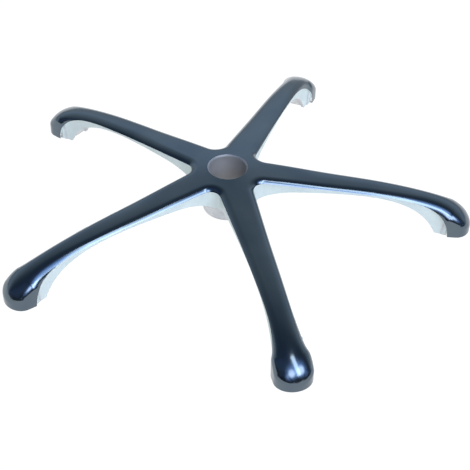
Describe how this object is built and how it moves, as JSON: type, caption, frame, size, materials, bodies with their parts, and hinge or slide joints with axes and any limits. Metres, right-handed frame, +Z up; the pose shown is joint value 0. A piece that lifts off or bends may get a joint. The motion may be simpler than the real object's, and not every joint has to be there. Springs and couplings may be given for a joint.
{
  "type": "office chair base",
  "caption": "Cast aluminium star base for an office chair, with arched arms, a tapered gas lift bore and a caster socket in each rounded foot.",
  "frame": {"origin": "on the hub's axis, at the height of the floor plane that the feet rest on, which is also the centre of the circle of caster sockets", "axes": "+Z up along the hub's axis; +X along the first arm; the other arms follow every 72 degrees about +Z"},
  "size_m": [0.6006, 0.6286, 0.0833],
  "materials": {
    "cast_aluminium": "mirror-polished caps over satin cast walls and a raw cast underside"
  },
  "bodies": {
    "root": {"base": "cast_aluminium"}
  },
  "joints": []
}
